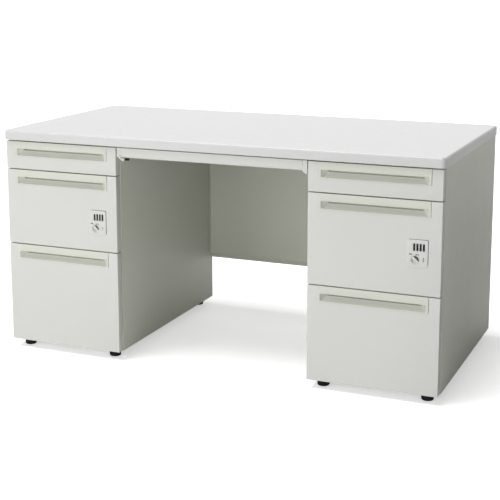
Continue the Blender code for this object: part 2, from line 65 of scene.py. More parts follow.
SHARP_ANGLE = math.radians(34)  # sharper edges than this stay crisp, the others are shaded smooth


# ---------------------------------------------------------------- materials

def link(tree, source, target):
    tree.links.new(source, target)


def noise_node(tree, vector, scale, detail=2.0):
    node = tree.nodes.new("ShaderNodeTexNoise")
    node.inputs["Scale"].default_value = scale
    node.inputs["Detail"].default_value = detail
    link(tree, vector, node.inputs["Vector"])
    return node.outputs["Fac"]


def ranged(tree, value, low, high):
    """value, which runs from about 0.3 to 0.7 as noise does, stretched over low to high."""
    node = tree.nodes.new("ShaderNodeMapRange")
    node.inputs["From Min"].default_value = 0.3
    node.inputs["From Max"].default_value = 0.7
    node.inputs["To Min"].default_value = low
    node.inputs["To Max"].default_value = high
    link(tree, value, node.inputs["Value"])
    return node.outputs["Result"]


def mixed(tree, factor, first, second):
    node = tree.nodes.new("ShaderNodeMix")
    node.data_type = "RGBA"
    link(tree, factor, node.inputs["Factor"])
    for socket, colour in ((node.inputs["A"], first), (node.inputs["B"], second)):
        if isinstance(colour, tuple):
            socket.default_value = (*colour, 1.0)
        else:
            link(tree, colour, socket)
    return node.outputs["Result"]


def surface(name, colour, roughness, grain, depth, mottle=0.012, metallic=0.0, stretch=(1, 1, 1), gloss=0.5,
            speck=None, shift=0.04):
    """A procedural material. grain is the texture's repeats to the metre and depth its height in metres.
    mottle is how far the colour drifts over the piece and shift how far the roughness does, stretch draws
    the grain out, and speck is a second colour in it."""
    material = bpy.data.materials.new(name)
    material.use_nodes = True
    tree = material.node_tree
    shader = tree.nodes["Principled BSDF"]
    shader.inputs["Metallic"].default_value = metallic
    shader.inputs["Specular IOR Level"].default_value = gloss
    place = tree.nodes.new("ShaderNodeTexCoord").outputs["Object"]
    mapping = tree.nodes.new("ShaderNodeMapping")
    mapping.inputs["Scale"].default_value = stretch
    link(tree, place, mapping.inputs["Vector"])
    fine = noise_node(tree, mapping.outputs["Vector"], grain)
    drift = ranged(tree, noise_node(tree, place, 2.5, 3.0), 0.0, 1.0)
    darker, lighter = (tuple(c * (1 + sign * mottle) for c in colour) for sign in (-1, 1))
    base = mixed(tree, drift, darker, lighter)
    if speck:
        spots = ranged(tree, noise_node(tree, mapping.outputs["Vector"], grain * 0.6, 1.0), -0.6, 1.0)
        base = mixed(tree, spots, base, speck)
    link(tree, base, shader.inputs["Base Color"])
    link(tree, ranged(tree, noise_node(tree, place, grain * 0.02, 4.0), roughness - shift, roughness + shift),
         shader.inputs["Roughness"])
    bump = tree.nodes.new("ShaderNodeBump")
    bump.inputs["Strength"].default_value = 1.0
    bump.inputs["Distance"].default_value = depth
    link(tree, fine, bump.inputs["Height"])
    link(tree, bump.outputs["Normal"], shader.inputs["Normal"])
    return material


def zinc(name, colour, roughness):
    """Zinc-plated steel: rolling lines along the slides over a faint spangle."""
    material = surface(name, colour, roughness, 1400, 0.000004, mottle=0.05, metallic=0.9,
                       stretch=(1, 0.03, 1), shift=0.07)
    tree = material.node_tree
    spangle = tree.nodes.new("ShaderNodeTexVoronoi")
    spangle.inputs["Scale"].default_value = 220
    link(tree, tree.nodes["Texture Coordinate"].outputs["Object"], spangle.inputs["Vector"])
    shader = tree.nodes["Principled BSDF"]
    plain = shader.inputs["Base Color"].links[0].from_socket
    spots = ranged(tree, spangle.outputs["Distance"], 0.0, 0.25)
    link(tree, mixed(tree, spots, plain, tuple(c * 0.82 for c in colour)), shader.inputs["Base Color"])
    return material


# The fronts' paint with painted shade: its blue is lowered so that the case's sides, which stand in shade,
# take the warm tint of that shade.
SHADE_TINTED_CASE_PAINT = surface("case_powder_coat_shade_tinted", (0.575, 0.580, 0.515), 0.46, 900, 0.000010)
FRONT_PAINT = surface("front_powder_coat", (0.560, 0.564, 0.538), 0.44, 900, 0.000010)
TRAY_PAINT = surface("tray_powder_coat", (0.480, 0.484, 0.462), 0.50, 900, 0.000012, mottle=0.02)
LAMINATE = surface("white_laminate", (0.725, 0.725, 0.725), 0.36, 2200, 0.000004, mottle=0.006,
                   speck=(0.705, 0.705, 0.705))
EDGE_BAND = surface("edge_band", (0.560, 0.562, 0.560), 0.34, 1600, 0.000005, mottle=0.006)
BACKING = surface("backing_sheet", (0.60, 0.59, 0.56), 0.60, 700, 0.000015, mottle=0.03,
                  speck=(0.50, 0.48, 0.44))
PULL_PLASTIC = surface("pull_moulding", (0.560, 0.565, 0.505), 0.50, 3200, 0.000006, mottle=0.008)
LOCK_PLASTIC = surface("lock_moulding", (0.570, 0.574, 0.550), 0.42, 3200, 0.000005, mottle=0.008)
DIAL_PLASTIC = surface("dial_moulding", (0.008, 0.008, 0.009), 0.42, 2600, 0.000005, mottle=0.10,
                       gloss=0.2)
BLACK_PLASTIC = surface("black_moulding", (0.010, 0.010, 0.011), 0.55, 1800, 0.000012, mottle=0.15,
                        gloss=0.15, speck=(0.016, 0.015, 0.015))
TRAY_PLASTIC = surface("pen_tray_moulding", (0.030, 0.030, 0.032), 0.48, 1500, 0.000015, mottle=0.12)
SLIDE_STEEL = zinc("zinc_plate", (0.58, 0.59, 0.60), 0.36)
BRIGHT_STEEL = surface("nickel_plate", (0.64, 0.63, 0.61), 0.28, 2600, 0.000003, mottle=0.03, metallic=1.0)
INK = surface("white_ink", (0.28, 0.28, 0.27), 0.55, 2600, 0.000004)
MARK_INK = surface("grey_ink", (0.09, 0.09, 0.085), 0.55, 2600, 0.000004)


# ---------------------------------------------------------------- mesh tools

def rounded(points, radii, steps=5, closed=False):
    """The polyline through points with round corners; radii is one radius, or one for each corner."""
    count = len(points)
    if not isinstance(radii, (list, tuple)):
        radii = [radii] * count
    out = []
    for i, point in enumerate(points):
        here = Vector(point)
        if not closed and i in (0, count - 1) or radii[i] <= 0:
            out.append(tuple(here))
            continue
        before = Vector(points[i - 1]) - here
        after = Vector(points[(i + 1) % count]) - here
        half_turn = before.angle(after) / 2
        reach = radii[i] / math.tan(half_turn)
        before.normalize()
        after.normalize()
        start, end = here + before * reach, here + after * reach
        centre = here + (before + after).normalized() * (radii[i] / math.sin(half_turn))
        spoke, other = start - centre, end - centre
        turn = spoke.angle(other)
        for step in range(steps + 1):
            share = step / steps
            arm = (spoke * math.sin((1 - share) * turn) + other * math.sin(share * turn)) / math.sin(turn)
            out.append(tuple(centre + arm))
    return out


def quarter(steps):
    """The angles of a quarter turn in equal steps, with both ends."""
    return [math.pi / 2 * step / steps for step in range(steps + 1)]


def rectangle(low, high, radius, steps=5):
    """A rectangle with round corners, with 4 * (steps + 1) points."""
    corners = [(low[0], low[1]), (high[0], low[1]), (high[0], high[1]), (low[0], high[1])]
    return rounded(corners, max(radius, 0.00005), steps, closed=True)


def on_axis(axis, point, height):
    """The 3-D point with height on axis and the flat point on the two others, in X, Y, Z order."""
    at = list(point)
    at.insert("XYZ".index(axis), height)
    return at


def loft(loops, ring=False):
    """Skin between loops of the same number of points, closed at both ends or into a ring."""
    bm = bmesh.new()
    rows = [[bm.verts.new(point) for point in loop] for loop in loops]
    pairs = list(zip(rows, rows[1:])) + ([(rows[-1], rows[0])] if ring else [])
    for row, following in pairs:
        for i in range(len(row)):
            j = (i + 1) % len(row)
            bm.faces.new((row[i], row[j], following[j], following[i]))
    if not ring:
        bm.faces.new(rows[0])
        bm.faces.new(rows[-1])
    bmesh.ops.recalc_face_normals(bm, faces=bm.faces)
    return bm


def prism(outline, axis, low, high):
    return loft([[on_axis(axis, p, height) for p in outline] for height in (low, high)])


def strip_outline(path, thickness):
    """The closed outline of a sheet whose outer face follows path; the sheet lies to the path's left."""
    inner = []
    for i, point in enumerate(path):
        before = Vector(path[max(i - 1, 0)])
        after = Vector(path[min(i + 1, len(path) - 1)])
        first = (Vector(point) - before).normalized() if i else (after - Vector(point)).normalized()
        second = (after - Vector(point)).normalized() if i < len(path) - 1 else first
        normal = Vector((-(first + second).y, (first + second).x)).normalized()
        stretch = 1 / max(normal.dot(Vector((-first.y, first.x))), 0.5)
        inner.append(tuple(Vector(point) + normal * thickness * stretch))
    return list(path) + inner[::-1]


def bent(path, bends, thickness, axis, low, high):
    """Folded sheet: path's corners get the bend radii, and the sheet runs along axis from low to high."""
    return prism(strip_outline(rounded(path, bends), thickness), axis, low, high)


def bar(low, high, radius, steps, axis="Y"):
    """A block whose edges are all rounded, built along axis."""
    index = "XYZ".index(axis)
    flat = [i for i in range(3) if i != index]
    loops = []
    levels = [(radius * (1 - math.sin(turn)), low[index] + radius * (1 - math.cos(turn)))
              for turn in quarter(steps)]
    levels += [(inset, high[index] + low[index] - height) for inset, height in levels[::-1]]
    for inset, height in levels:
        corners = [low[i] + inset for i in flat], [high[i] - inset for i in flat]
        loops.append([on_axis(axis, p, height) for p in rectangle(*corners, radius, steps)])
    return loft(loops)


def turned(profile, axis, centre, segments, ring=False, radius_at=None):
    """A piece turned about a line along axis, from (radius, height) points; centre is the flat point."""
    loops = []
    for radius, height in profile:
        loop = []
        for i in range(segments):
            turn = 2 * math.pi * i / segments
            reach = radius_at(radius, turn) if radius_at else radius
            flat = (centre[0] + reach * math.cos(turn), centre[1] + reach * math.sin(turn))
            loop.append(on_axis(axis, flat, height))
        loops.append(loop)
    return loft(loops, ring)


def mirrored(bm, hand):
    """The mesh itself for the right-hand side, and its mirror image for the left."""
    if hand < 0:
        bmesh.ops.scale(bm, vec=(-1, 1, 1), verts=bm.verts)
        bmesh.ops.reverse_faces(bm, faces=bm.faces)
    return bm


def moved(bm, offset):
    bmesh.ops.translate(bm, vec=offset, verts=bm.verts)
    return bm


def make_object(name, bm, material):
    """An object from a bmesh, which is used up, with smooth shading between its sharp edges."""
    mesh = bpy.data.meshes.new(name)
    bm.to_mesh(mesh)
    bm.free()
    mesh.shade_smooth()
    mesh.set_sharp_from_angle(angle=SHARP_ANGLE)
    if material:
        mesh.materials.append(material)
    obj = bpy.data.objects.new(name, mesh)
    bpy.context.scene.collection.objects.link(obj)
    return obj


def cut(obj, *cutters):
    """Takes the cutters' shapes out of obj and removes them; each cutter is a bmesh."""
    for number, bm in enumerate(cutters):
        tool = make_object(f"{obj.name}_cutter_{number}", bm, None)
        modifier = obj.modifiers.new("cut", "BOOLEAN")
        modifier.operation = "DIFFERENCE"
        modifier.object = tool
        evaluated = obj.evaluated_get(bpy.context.evaluated_depsgraph_get())
        mesh = bpy.data.meshes.new_from_object(evaluated)
        obj.modifiers.remove(modifier)
        obj.data = mesh
        bpy.data.objects.remove(tool)
    obj.data.set_sharp_from_angle(angle=SHARP_ANGLE)
    return obj


def piece(name, bm, material, body, slot, *nodes, bevel=0.0):
    """A shown piece: rides on body and stands for the named nodes; slot is not used."""
    obj = make_object(name, bm, material)
    if bevel:
        edges = obj.modifiers.new("edges", "BEVEL")
        edges.width = bevel
        edges.segments = 2
        edges.limit_method = "ANGLE"
        edges.angle_limit = math.radians(40)
        edges.harden_normals = True
    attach(obj, body)
    if nodes:
        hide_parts(*nodes)
    return obj


# ---------------------------------------------------------------- desktop and frame

def rim_profile(low, high, lower_radius, upper_radius, lower_steps, upper_steps):
    """(inset, height) steps from the underside round both edges to the top."""
    steps = [(lower_radius * (1 - math.sin(turn)), low + lower_radius * (1 - math.cos(turn)))
             for turn in quarter(lower_steps)]
    steps += [(upper_radius * (1 - math.cos(turn)), high - upper_radius * (1 - math.sin(turn)))
              for turn in quarter(upper_steps)]
    return steps


def make_desktop():
    """Board with a laminate face, a soft edge band round it and a backing sheet below."""
    low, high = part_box("desktop")
    corner, roll, wrap = 0.016, 0.0072, math.radians(24)
    loops = []
    for inset, height in rim_profile(low.z, high.z, 0.0022, roll, 4, 15):
        flat = rectangle((low.x + inset, low.y + inset), (high.x - inset, high.y - inset), corner - inset, 8)
        loops.append([(x, y, height) for x, y in flat])
    obj = piece("desktop_board", loft(loops), LAMINATE, "desk_frame", "laminate", "desktop")
    obj.data.materials.append(EDGE_BAND)
    obj.data.materials.append(BACKING)
    for face in obj.data.polygons:
        centre = face.center
        if face.normal.z < -0.99:
            face.material_index = 2
        elif centre.z < high.z - roll * (1 - math.cos(wrap)):
            face.material_index = 1


def make_modesty_panel():
    """Folded sheet with a flange forward along its top, a lower edge that slopes back, and end flanges."""
    low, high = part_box("modesty_panel")
    face_y = high.y - 0.010 - SHEET
    crease = low.z + 0.0186
    bm = bent([(face_y - 0.016 + SHEET, high.z), (face_y, high.z), (face_y, crease), (face_y + 0.010, low.z)],
              [0, 0.002, 0.003, 0], SHEET, "X", low.x, high.x)
    piece("modesty_sheet", bm, SHADE_TINTED_CASE_PAINT, "desk_frame", "case_paint", "modesty_panel")
    for side, hand in HAND.items():
        inside, front = high.x - GAP, face_y - GAP
        path = [(inside - 0.014, front), (inside, front), (inside, front - 0.015)]
        flange = bent(path, [0, BEND, 0], -SHEET, "Z", crease + 0.004, high.z - 0.018)
        piece(f"modesty_{side}_flange", mirrored(flange, hand), SHADE_TINTED_CASE_PAINT, "desk_frame", "case_paint")


def make_case(side):
    """The two folded sheets of a pedestal: the outer side with the back, and the inner side."""
    hand = HAND[side]
    low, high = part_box(side + "_outer_shell")
    middle = (low.x + high.x) / 2
    half = (high.x - low.x) / 2
    lip = 0.004
    path = [(half - lip, low.y), (half, low.y), (half, high.y), (-half, high.y)]
    shell = bent(path, [0, FRONT_BEND, BEND, 0], SHEET, "Z", low.z, high.z)
    piece(side + "_case_shell", moved(mirrored(shell, hand), (middle, 0, 0)), SHADE_TINTED_CASE_PAINT, "desk_frame",
          "case_paint", side + "_outer_shell")
    low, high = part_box(side + "_inner_side")
    path = [(0.016 - half, high.y), (-half, high.y), (-half, low.y), (lip - half, low.y)]
    wall = bent(path, [0, BEND, FRONT_BEND, 0], SHEET, "Z", low.z, high.z)
    piece(side + "_case_inner_wall", moved(mirrored(wall, hand), (middle, 0, 0)), SHADE_TINTED_CASE_PAINT, "desk_frame",
          "case_paint", side + "_inner_side")


def make_foot(name):
    """Levelling foot: a pad with a rounded sole and a shallow groove, on a threaded stem."""
    low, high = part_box(name)
    centre = ((low.x + high.x) / 2, (low.y + high.y) / 2)
    radius = (high.x - low.x) / 2
    pad_top, heel = 0.0247, 0.0045
    stem, pitch, core = 0.0039, 0.00125, 0.0004
    profile = [(core, low.z + 0.0008), (radius - 0.007, low.z + 0.0008), (radius - 0.0062, low.z)]
    profile += [(radius - heel * (1 - math.sin(turn)), low.z + heel * (1 - math.cos(turn)))
                for turn in quarter(6)]
    groove = [(0, 0.0062), (0.0005, 0.0058), (0.0005, 0.0050), (0, 0.0046)]
    shoulder = [(0, 0.0012), (0.0003, 0.0004), (0.0012, 0)]
    profile += [(radius - inset, pad_top - drop) for inset, drop in groove + shoulder]
    profile.append((0.0075, pad_top))
    height = pad_top
    while height + pitch < high.z:
        profile += [(stem - 0.0005, height), (stem, height + pitch / 2)]
        height += pitch
    profile += [(stem - 0.0006, high.z), (core, high.z)]
    piece(name + "_pad", turned(profile, "Z", centre, 40), BLACK_PLASTIC, name, "black_plastic", name)


# ---------------------------------------------------------------- drawers

def make_front(name, body, lock=None):
    """Folded front of a pedestal drawer, notched for the pull and, on a middle drawer, for its lock."""
    low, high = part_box(name)
    round_over = 0.0013
    levels = [(FRONT_SHEET, low.y + FRONT_SHEET), (FRONT_SHEET, high.y), (0, high.y)]
    for turn in quarter(4):
        levels.append((round_over * (1 - math.cos(turn)), low.y + round_over * (1 - math.sin(turn))))
    loops = []
    for inset, y in levels:
        flat = rectangle((low.x + inset, low.z + inset), (high.x - inset, high.z - inset), 0.0016 - inset, 4)
        loops.append([(x, y, z) for x, z in flat])
    obj = piece(name + "_sheet", loft(loops), FRONT_PAINT, body, "front_paint", name)
    pull_low, pull_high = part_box(name.replace("_front", "_pull"))
    notch = rectangle((pull_low.x - GAP, pull_low.z - GAP), (pull_high.x + PULL_SEAM, pull_high.z + 0.01),
                      0.0008, 2)
    cutters = [prism(notch, "Y", low.y - 0.005, high.y + 0.005)]
    if lock:
        (x0, _, z0), (x1, _, z1) = lock
        lap, shadow_gap = 0.0027, 0.0011
        hole = rectangle((x0 + lap, z0 + lap), (x1 + shadow_gap, z1 + shadow_gap), 0.0030, 4)
        cutters.append(prism(hole, "Y", low.y - 0.002, low.y + 0.002))
    cut(obj, *cutters)


def make_pull(name, body):
    """Moulded pull: a flat lip, a recess that slopes up behind it with slanted ends, and a finger hook."""
    low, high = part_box(name)
    middle = (low.x + high.x) / 2
    half = (high.x - low.x) / 2
    face, recess_back = low.y, low.y + 0.0158
    top, bottom = high.z - 0.0220, high.z - 0.0435
    mouth_half, hook_half = 0.1545, 0.1358
    edge, rim = 0.0005, 0.0007

    def loop(y, half_x, z0, z1, radius):
        flat = rectangle((middle - half_x, z0), (middle + half_x, z1), radius, 5)
        return [(x, y, z) for x, z in flat]

    loops = [loop(high.y, half, low.z, high.z, 0.0008)]
    for turn in quarter(3):
        inset, y = edge * (1 - math.cos(turn)), face + edge * (1 - math.sin(turn))
        loops.append(loop(y, half - inset, low.z + inset, high.z - inset, 0.0008))
    for turn in quarter(3):
        out, y = rim * (1 - math.sin(turn)), face + rim * (1 - math.cos(turn))
        loops.append(loop(y, mouth_half + out, bottom - out, top + out, 0.0022))
    loops.append(loop(face + 0.0056, 0.1500, bottom + 0.0002, top, 0.0021))
    loops.append(loop(face + 0.0066, 0.1492, bottom + 0.0010, top, 0.0020))
    loops.append(loop(recess_back - 0.0015, 0.1377, top - 0.0033, top, 0.0015))
    loops.append(loop(recess_back, 0.1367, top - 0.0018, top - 0.0002, 0.0007))
    obj = piece(name + "_moulding", loft(loops), PULL_PLASTIC, body, "pull_plastic", name)
    near, step, far = face + 0.0053, face + 0.0120, face + 0.0195
    crown, brow, tip = high.z - 0.012, top - 0.0006, top - 0.0068
    hook = [(near, brow), (near, crown), (far, crown), (far, tip), (step, tip), (step, brow)]
    cut(obj, prism(hook, "X", middle - hook_half, middle + hook_half))


def make_tray(side, level, body):
    """Folded steel tray with hemmed walls, divider slots and the drawer members of its slides."""
    name = f"{side}_{level}_drawer_tray"
    low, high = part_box(name)
    middle = (low.x + high.x) / 2
    depth = high.y - low.y
    corner, hem, fold, skin = 0.004, 0.0016, 0.0026, TRAY_SHEET

    def loop(inset, z):
        flat = rectangle((middle - TRAY_HALF + inset, low.y + inset),
                         (middle + TRAY_HALF - inset, high.y - inset), max(corner - inset, 0.001), 4)
        return [(x, y, z) for x, y in flat]

    loops = [loop(0.004, low.z + skin), loop(0.0022, low.z + skin + 0.0005), loop(skin, low.z + 0.004),
             loop(skin, high.z - 0.008)]
    for step in range(7):
        turn = math.pi * step / 6
        loops.append(loop(fold - fold * (1 - math.cos(turn)) / 2, high.z - hem * (1 - math.sin(turn))))
    loops += [loop(0.0, low.z + 0.003), loop(0.0009, low.z + 0.0009), loop(0.003, low.z)]
    obj = piece(name + "_pan", loft(loops), TRAY_PAINT, body, "tray_paint", name)
    count = 6 if level == "bottom" else 5           # divider slots in a wall
    slots = []
    for sign in (-1, 1):
        for number in range(count):
            y = low.y + depth * (number + 1) / (count + 1)
            wall = middle + sign * TRAY_HALF
            slots.append(bar((wall - 0.004, y - 0.001, high.z - 0.022),
                             (wall + 0.004, y + 0.001, high.z - 0.010), 0.0008, 1, "X"))
    merged = slots[0]
    for extra in slots[1:]:
        scratch = bpy.data.meshes.new("slot")
        extra.to_mesh(scratch)
        extra.free()
        merged.from_mesh(scratch)
        bpy.data.meshes.remove(scratch)
    cut(obj, merged)
    make_drawer_members(side, level, body, low, high, middle)


def make_drawer_members(side, level, body, low, high, middle):
    """The channel on each wall of a tray that runs in the case's slides, with its three screws."""
    tall = RUNNER_HEIGHT[level]
    reach = (high.x - low.x) / 2
    depth = high.y - low.y
    z = low.z + RUNNER_RISE[level]
    web = 0.0015
    for hand, where in ((-1, "left"), (1, "right")):
        path = [(reach, z - tall / 2), (TRAY_HALF, z - tall / 2), (TRAY_HALF, z + tall / 2),
                (reach, z + tall / 2)]
        runner = bent(path, [0, 0.002, 0.002, 0], -web, "Y", low.y, high.y)
        piece(f"{side}_{level}_{where}_drawer_member", moved(mirrored(runner, hand), (middle, 0, 0)),
              SLIDE_STEEL, body, "slide_steel", bevel=0.0003)
        base = TRAY_HALF + web
        screw = [(CORE, base), (0.0042, base), (0.0042, base + 0.0006), (0.0030, base + 0.0017),
                 (0.0016, base + 0.0020), (0.0014, base + 0.0012), (CORE, base + 0.0012)]
        for number, share in enumerate((0.12, 0.50, 0.88), 1):
            y = low.y + depth * share
            head = turned(screw, "X", (y, z), 20)
            piece(f"{side}_{level}_{where}_member_screw_{number}",
                  moved(mirrored(head, hand), (middle, 0, 0)), BRIGHT_STEEL, body, "slide_steel")


# ---------------------------------------------------------------- locks

def make_digits():
    """Flat meshes of the ten digits, 2.5 mm high, centred on their own middle."""
    digits = []
    for number in range(DIGITS):
        curve = bpy.data.curves.new("digit", "FONT")
        curve.body = str(number)
        curve.size = 0.0026
        curve.align_x = "CENTER"
        curve.align_y = "CENTER"
        curve.extrude = 0.00012
        curve.resolution_u = 3
        text = bpy.data.objects.new("digit", curve)
        bpy.context.scene.collection.objects.link(text)
        evaluated = text.evaluated_get(bpy.context.evaluated_depsgraph_get())
        digits.append(bpy.data.meshes.new_from_object(evaluated))
        bpy.data.objects.remove(text)
        bpy.data.curves.remove(curve)
    return digits


def make_dial(name, digits):
    """Number wheel with a groove between each pair of digits, and the digits in white on its rim."""
    low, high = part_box(name)
    x = (low.x + high.x) / 2
    centre = ((low.y + high.y) / 2, (low.z + high.z) / 2)
    rim, half, hub, hub_half, bore = 0.0109, 0.0022, 0.0040, 0.0042, 0.00165
    profile = [(bore, x + hub_half), (hub - 0.0003, x + hub_half), (hub, x + hub_half - 0.0003),
               (hub, x + half), (rim - 0.0006, x + half), (rim - 0.0001, x + half - 0.0003),
               (rim, x + half - 0.0006), (rim, x - half + 0.0006), (rim - 0.0001, x - half + 0.0003),
               (rim - 0.0006, x - half), (hub, x - half), (hub, x - hub_half + 0.0003),
               (hub - 0.0003, x - hub_half), (bore, x - hub_half)]

    def grooved(radius, turn):
        """The radius with a groove cut in the rim halfway between each digit and the next."""
        if radius < rim - 0.001:
            return radius
        off = ((turn + math.pi / DIGITS) / (2 * math.pi / DIGITS) + 0.5) % 1 - 0.5
        return radius - 0.0007 * max(0.0, 1 - (off / 0.10) ** 2)

    wheel = turned(profile, "X", centre, 120, ring=True, radius_at=grooved)
    piece(name + "_wheel", wheel, DIAL_PLASTIC, name, "black_plastic", name)
    ink = bmesh.new()
    for number, mesh in enumerate(digits):
        part = bmesh.new()
        part.from_mesh(mesh)
        # Digits stand in the XY plane: turn them to face -Y, lift them to the rim, then round the axle.
        stand = Matrix.Rotation(math.pi / 2, 4, "X")
        lift = Matrix.Translation((0, -(rim - 0.00002), 0))
        spin = Matrix.Rotation(2 * math.pi * number / DIGITS, 4, "X")
        narrow = Matrix.Diagonal((0.80, 1, 1, 1))
        place = Matrix.Translation((x, *centre))
        part.transform(place @ spin @ lift @ stand @ narrow)
        scratch = bpy.data.meshes.new("digit")
        part.to_mesh(scratch)
        part.free()
        ink.from_mesh(scratch)
        bpy.data.meshes.remove(scratch)
    piece(name + "_numbers", ink, INK, name, "black_plastic")


def obround(low, high, steps=6):
    """A slot's outline with round ends, from its lowest to its highest corner."""
    radius = min(high[0] - low[0], high[1] - low[1]) / 2
    return rectangle(low, high, radius * 0.98, steps)


def make_lock(side, digits):
    """Combination lock: face plate, case behind it, key barrel, axle, dials and thumb-turn."""
    body = side + "_middle_drawer"
    name = side + "_lock"
    low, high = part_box(name + "_housing")
    middle = (low.x + high.x) / 2
    face, back = low.y, low.y + 0.0010
    edge = 0.0004
    loops = []
    for inset, y in ((0, back), (0, face + edge), (edge * 0.3, face + edge * 0.3), (edge, face)):
        flat = rectangle((low.x + inset, low.z + inset), (high.x - inset, high.z - inset),
                         LOCK_CORNER - inset, 5)
        loops.append([(x, y, z) for x, z in flat])
    plate = piece(name + "_plate", loft(loops), LOCK_PLASTIC, body, "lock_plastic", name + "_housing")
    dials = [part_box(f"{name}_dial_{number}") for number in range(1, 5)]
    places = [((lowest.x + highest.x) / 2, (lowest.z + highest.z) / 2) for lowest, highest in dials]
    through = (face - 0.002, back + 0.002)
    slot_half, slot_tall = 0.0031, 0.0110
    cutters = []
    for x, z in places:
        outline = obround((x - slot_half, z - slot_tall), (x + slot_half, z + slot_tall))
        cutters.append(prism(outline, "Y", *through))
    turn_low, turn_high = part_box(name + "_thumb_turn")
    thumb = ((turn_low.x + turn_high.x) / 2, turn_high.z - 0.013)
    key = (middle + 0.0176, (low.z + high.z) / 2 - 0.0168)
    for centre, hole, segments in ((thumb, 0.01325, 48), (key, 0.0068, 32)):
        cutters.append(turned([(hole, y) for y in through], "Y", centre, segments))
    cut(plate, *cutters)
    make_key_barrel(name, body, key, face)
    inset, wall = 0.003, 0.002
    case = []
    for step_in, y in ((inset + wall, back + wall), (inset + wall, high.y), (inset, high.y),
                       (inset, back + GAP)):
        flat = rectangle((low.x + step_in, low.z + step_in), (high.x - step_in, high.z - step_in), 0.001, 3)
        case.append([(x, y, z) for x, z in flat])
    shell = piece(name + "_case", loft(case), BLACK_PLASTIC, body, "lock_plastic")
    window = rectangle((low.x + 0.006, low.z + 0.004), (high.x - 0.0045, high.z - 0.0055), 0.001, 2)
    cut(shell, prism(window, "Y", back - 0.001, back + 0.0045))
    for number, (x, z) in enumerate(places, 1):
        loops = []
        # Half width, half height and depth, out along the frame's inside and back along its outside.
        for half, tall, y in ((0.0024, 0.0103, back), (0.0024, 0.0103, face + 0.0003),
                              (0.0025, 0.0104, face + 0.0001), (0.0028, 0.0107, face + 0.0001),
                              (0.0028, 0.0107, back)):
            loops.append([(a, y, b) for a, b in obround((x - half, z - tall), (x + half, z + tall))])
        piece(f"{name}_window_{number}", loft(loops, ring=True), BLACK_PLASTIC, body, "black_plastic")
    lowest, highest = dials[0]
    axle = ((lowest.y + highest.y) / 2, (lowest.z + highest.z) / 2)
    start, end, rod_radius = low.x + 0.0045, high.x - 0.0045, 0.0015
    rod = turned([(CORE, start), (rod_radius, start), (rod_radius, end), (CORE, end)], "X", axle, 24)
    piece(name + "_axle", rod, BRIGHT_STEEL, body, "slide_steel")
    for number in range(1, 5):
        make_dial(f"{name}_dial_{number}", digits)
    make_thumb_turn(side, thumb, face)
    make_lock_marks(name, body, thumb, face)


def make_key_barrel(name, body, key, face):
    """The barrel that the key goes into, with its slit."""
    head, tail, rim = face - 0.0001, face + 0.019, 0.0062
    profile = [(CORE, tail), (rim, tail), (0.0066, face + 0.0004), (rim, head), (CORE, head)]
    obj = piece(name + "_key_barrel", turned(profile, "Y", key, 32), LOCK_PLASTIC, body, "lock_plastic")
    slit_half, slit_tall = 0.0009, 0.0058
    slit = obround((key[0] - slit_half, key[1] - slit_tall), (key[0] + slit_half, key[1] + slit_tall), 4)
    cut(obj, prism(slit, "Y", face - 0.002, face + 0.010))


def make_lock_marks(name, body, thumb, face):
    """A plain bar and two dots, printed above the thumb-turn for open and shut."""
    top, front, back = thumb[1] + 0.0172, face - 0.00012, face + 0.0002
    open_mark = bar((thumb[0] - 0.0170, front, top - 0.0030), (thumb[0] - 0.0080, back, top), 0.0001, 1)
    piece(name + "_open_mark", open_mark, MARK_INK, body, "lock_plastic")
    radius = 0.0019
    profile = [(CORE, back), (radius, back), (radius, front), (CORE, front)]
    for number, x in enumerate((0.0032, 0.0086), 1):
        dot = turned(profile, "Y", (thumb[0] + x, top - 0.0021), 20)
        piece(f"{name}_shut_mark_{number}", dot, MARK_INK, body, "lock_plastic")


def make_thumb_turn(side, centre, face):
    """Dished disc with a pocket and a slanting grip bar across it, its spindle and its cam."""
    name = side + "_lock_thumb_turn"
    radius, dish, back = 0.0130, 0.0110, 0.0090 + 0.0013
    slope = Matrix.Rotation(THUMB_SLOPE, 2)
    profile = [(CORE, face + back), (radius, face + back), (radius, face + 0.0005),
               (radius - 0.0002, face + 0.0002), (radius - 0.0006, face + 0.0001),
               (dish + 0.0004, face + 0.0001), (dish, face + 0.0004)]
    for turn in quarter(7)[1:]:
        profile.append((dish * math.cos(turn) + CORE, face + 0.0004 + 0.0062 * math.sin(turn)))
    obj = piece(name + "_dish", turned(profile, "Y", centre, 56), LOCK_PLASTIC, name, "lock_plastic", name)
    outline = []
    for step in range(17):
        turn = math.pi * step / 16
        flat = slope @ Vector((0.0106 * math.cos(turn), 0.0024 + 0.0082 * math.sin(turn)))
        outline.append((centre[0] + flat.x, centre[1] + flat.y))
    cut(obj, prism(outline, "Y", face - 0.002, face + 0.0120))
    half, width = 0.0112, 0.0031
    loops = []
    for inset, y in ((0, face + 0.0072), (0, face + 0.0012), (0.0003, face + 0.0006),
                     (0.0009, face + 0.0003)):
        outline = []
        for x, z in rectangle((-half, -width + inset), (half, width - inset), width * 0.6, 6):
            flat = slope @ Vector((x, z))
            outline.append((centre[0] + flat.x, y, centre[1] + flat.y))
        loops.append(outline)
    piece(name + "_grip", loft(loops), LOCK_PLASTIC, name, "lock_plastic")
    tail, spindle_radius = 0.0193, 0.0040
    spindle = turned([(CORE, face + tail), (spindle_radius, face + tail), (spindle_radius, face + back),
                      (CORE, face + back)], "Y", centre, 24)
    piece(name + "_spindle", spindle, LOCK_PLASTIC, name, "lock_plastic", bevel=0.0003)
    arm = obround((centre[0] - 0.0035, centre[1] - 0.012), (centre[0] + 0.0035, centre[1] + 0.003))
    cam = prism(arm, "Y", face + 0.0194, face + 0.0206)
    piece(name + "_cam", cam, BRIGHT_STEEL, name, "slide_steel", bevel=0.0002)


# ---------------------------------------------------------------- centre drawer

